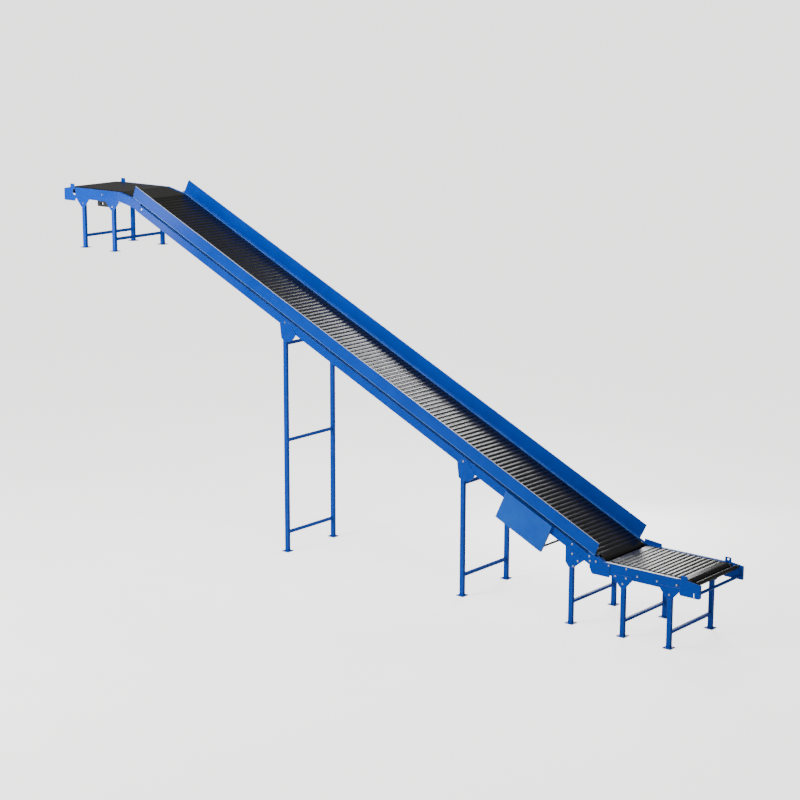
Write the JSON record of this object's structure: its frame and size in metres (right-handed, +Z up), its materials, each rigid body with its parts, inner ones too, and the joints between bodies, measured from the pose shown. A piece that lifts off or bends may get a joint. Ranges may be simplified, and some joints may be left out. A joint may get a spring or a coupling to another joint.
{
  "type": "inclined belt conveyor section",
  "caption": "Inclined belt conveyor with a level feeder, a rising bed between flared side guards, a nose-over, a level discharge and welded legs up to an upper floor.",
  "frame": {"origin": "on the lower floor under the middle of the conveyor", "axes": "+X towards the infeed end, +Y towards the side away from the drive, +Z up"},
  "size_m": [11.6704, 1.132, 5.1551],
  "materials": {
    "blue_paint": "satin",
    "black_belt": "satin, ribbed over the rollers",
    "zinc": "zinc plated",
    "roller_steel": "turned tube",
    "motor_grey": "painted casting",
    "dark_steel": "oiled",
    "black_box": "satin"
  },
  "bodies": {
    "frame": {"bed_cross_braces": "blue_paint", "chain_guard": "blue_paint", "discharge_bed_rollers": "roller_steel", "discharge_brackets": "blue_paint", "discharge_rails": "blue_paint", "drive_bearings": "motor_grey", "drive_chain": "dark_steel", "drive_side_plates": "blue_paint", "drive_tie_bars": "roller_steel", "feeder_bed_rollers": "roller_steel", "feeder_belt": "black_belt", "feeder_rail_far": "blue_paint", "feeder_rail_near": "blue_paint", "frame_bolts": "zinc", "gearbox": "motor_grey", "incline_bed_rollers": "roller_steel", "incline_belt": "black_belt", "incline_rail_far": "blue_paint", "incline_rail_near": "blue_paint", "infeed_brackets": "blue_paint", "infeed_cross_tube": "blue_paint", "joint_plates": "blue_paint", "junction_box": "black_box", "leg_gussets": "blue_paint", "motor": "motor_grey", "nose_rails": "blue_paint", "pivot_plates": "blue_paint", "pulley_bearings": "motor_grey", "side_guard_far": "blue_paint", "side_guard_near": "blue_paint", "splice_plates": "blue_paint", "support_1": "blue_paint", "support_2": "blue_paint", "support_3": "blue_paint", "support_4": "blue_paint", "support_5": "blue_paint", "support_6": "blue_paint", "support_7": "blue_paint", "transfer_chain": "dark_steel"},
    "drive_pulley": {"drive_pulley": "roller_steel", "driven_sprocket": "dark_steel"},
    "motor_sprocket": {"motor_sprocket": "dark_steel", "output_shaft": "roller_steel"},
    "take_up": {"take_up_carriage": "roller_steel"},
    "tail_pulley": {"tail_pulley": "roller_steel", "tail_sprocket": "dark_steel"},
    "feeder_head_pulley": {"feeder_head_pulley": "roller_steel", "feeder_sprocket": "dark_steel"},
    "take_up_pulley": {"take_up_pulley": "roller_steel"},
    "head_pulley": {"head_pulley": "roller_steel"},
    "feeder_tail_pulley": {"feeder_tail_pulley": "roller_steel"},
    "end_roller": {"end_roller": "black_belt"},
    "snub_roller_upper": {"snub_roller_upper": "roller_steel"},
    "snub_roller_middle": {"snub_roller_middle": "roller_steel"},
    "snub_roller_lower": {"snub_roller_lower": "roller_steel"},
    "return_idler_1": {"return_idler_1": "roller_steel"},
    "return_idler_2": {"return_idler_2": "roller_steel"},
    "return_idler_3": {"return_idler_3": "roller_steel"},
    "return_idler_4": {"return_idler_4": "roller_steel"},
    "return_idler_5": {"return_idler_5": "roller_steel"}
  },
  "joints": [
    {"name": "drive_turn", "type": "hinge", "parent": "frame", "child": "drive_pulley", "pos_m": [2.99454, 0, 1.26277], "axis": [0, 1, 0], "continuous": true},
    {"name": "motor_turn", "type": "hinge", "parent": "frame", "child": "motor_sprocket", "pos_m": [2.78158, 0, 1.27932], "axis": [0, 1, 0], "continuous": true},
    {"name": "take_up_slide", "type": "slide", "parent": "frame", "child": "take_up", "axis": [0.4226, 0, 0.9063], "range_m": [0, 0.06]},
    {"name": "take_up_turn", "type": "hinge", "parent": "take_up", "child": "take_up_pulley", "pos_m": [3.1914, 0, 1.13787], "axis": [0, 1, 0], "continuous": true},
    {"name": "snub_upper_turn", "type": "hinge", "parent": "frame", "child": "snub_roller_upper", "pos_m": [2.94354, 0, 1.46243], "axis": [0, 1, 0], "continuous": true},
    {"name": "snub_middle_turn", "type": "hinge", "parent": "frame", "child": "snub_roller_middle", "pos_m": [3.15517, 0, 1.29821], "axis": [0, 1, 0], "continuous": true},
    {"name": "snub_lower_turn", "type": "hinge", "parent": "frame", "child": "snub_roller_lower", "pos_m": [3.36262, 0, 1.26701], "axis": [0, 1, 0], "continuous": true},
    {"name": "tail_turn", "type": "hinge", "parent": "frame", "child": "tail_pulley", "pos_m": [4.31465, 0, 0.92304], "axis": [0, 1, 0], "continuous": true},
    {"name": "head_turn", "type": "hinge", "parent": "frame", "child": "head_pulley", "pos_m": [-5.71115, 0, 4.978], "axis": [0, 1, 0], "continuous": true},
    {"name": "return_idler_1_turn", "type": "hinge", "parent": "frame", "child": "return_idler_1", "pos_m": [2.16025, 0, 1.83983], "axis": [0, 1, 0], "continuous": true},
    {"name": "return_idler_2_turn", "type": "hinge", "parent": "frame", "child": "return_idler_2", "pos_m": [0.07574, 0, 2.81185], "axis": [0, 1, 0], "continuous": true},
    {"name": "return_idler_3_turn", "type": "hinge", "parent": "frame", "child": "return_idler_3", "pos_m": [-2.00877, 0, 3.78387], "axis": [0, 1, 0], "continuous": true},
    {"name": "return_idler_4_turn", "type": "hinge", "parent": "frame", "child": "return_idler_4", "pos_m": [-4.21721, 0, 4.81368], "axis": [0, 1, 0], "continuous": true},
    {"name": "return_idler_5_turn", "type": "hinge", "parent": "frame", "child": "return_idler_5", "pos_m": [-4.59935, 0, 4.8984], "axis": [0, 1, 0], "continuous": true},
    {"name": "feeder_head_turn", "type": "hinge", "parent": "frame", "child": "feeder_head_pulley", "pos_m": [4.44515, 0, 0.893], "axis": [0, 1, 0], "continuous": true},
    {"name": "feeder_tail_turn", "type": "hinge", "parent": "frame", "child": "feeder_tail_pulley", "pos_m": [5.62416, 0, 0.893], "axis": [0, 1, 0], "continuous": true},
    {"name": "end_roller_turn", "type": "hinge", "parent": "frame", "child": "end_roller", "pos_m": [5.74116, 0, 0.902], "axis": [0, 1, 0], "continuous": true}
  ],
  "couplings": [
    {"joint": "motor_turn", "follows": "drive_turn", "ratio": 1.9792},
    {"joint": "take_up_turn", "follows": "drive_turn", "ratio": 1.4777},
    {"joint": "snub_upper_turn", "follows": "drive_turn", "ratio": -2.455},
    {"joint": "snub_middle_turn", "follows": "drive_turn", "ratio": -2.455},
    {"joint": "snub_lower_turn", "follows": "drive_turn", "ratio": -2.455},
    {"joint": "tail_turn", "follows": "drive_turn", "ratio": 1.7576},
    {"joint": "head_turn", "follows": "drive_turn", "ratio": 1.7576},
    {"joint": "return_idler_1_turn", "follows": "drive_turn", "ratio": -3.4627},
    {"joint": "return_idler_2_turn", "follows": "drive_turn", "ratio": -3.4627},
    {"joint": "return_idler_3_turn", "follows": "drive_turn", "ratio": -3.4627},
    {"joint": "return_idler_4_turn", "follows": "drive_turn", "ratio": -3.4627},
    {"joint": "return_idler_5_turn", "follows": "drive_turn", "ratio": -3.4627},
    {"joint": "feeder_head_turn", "follows": "drive_turn", "ratio": 1.7576},
    {"joint": "feeder_tail_turn", "follows": "drive_turn", "ratio": 1.7576}
  ]
}
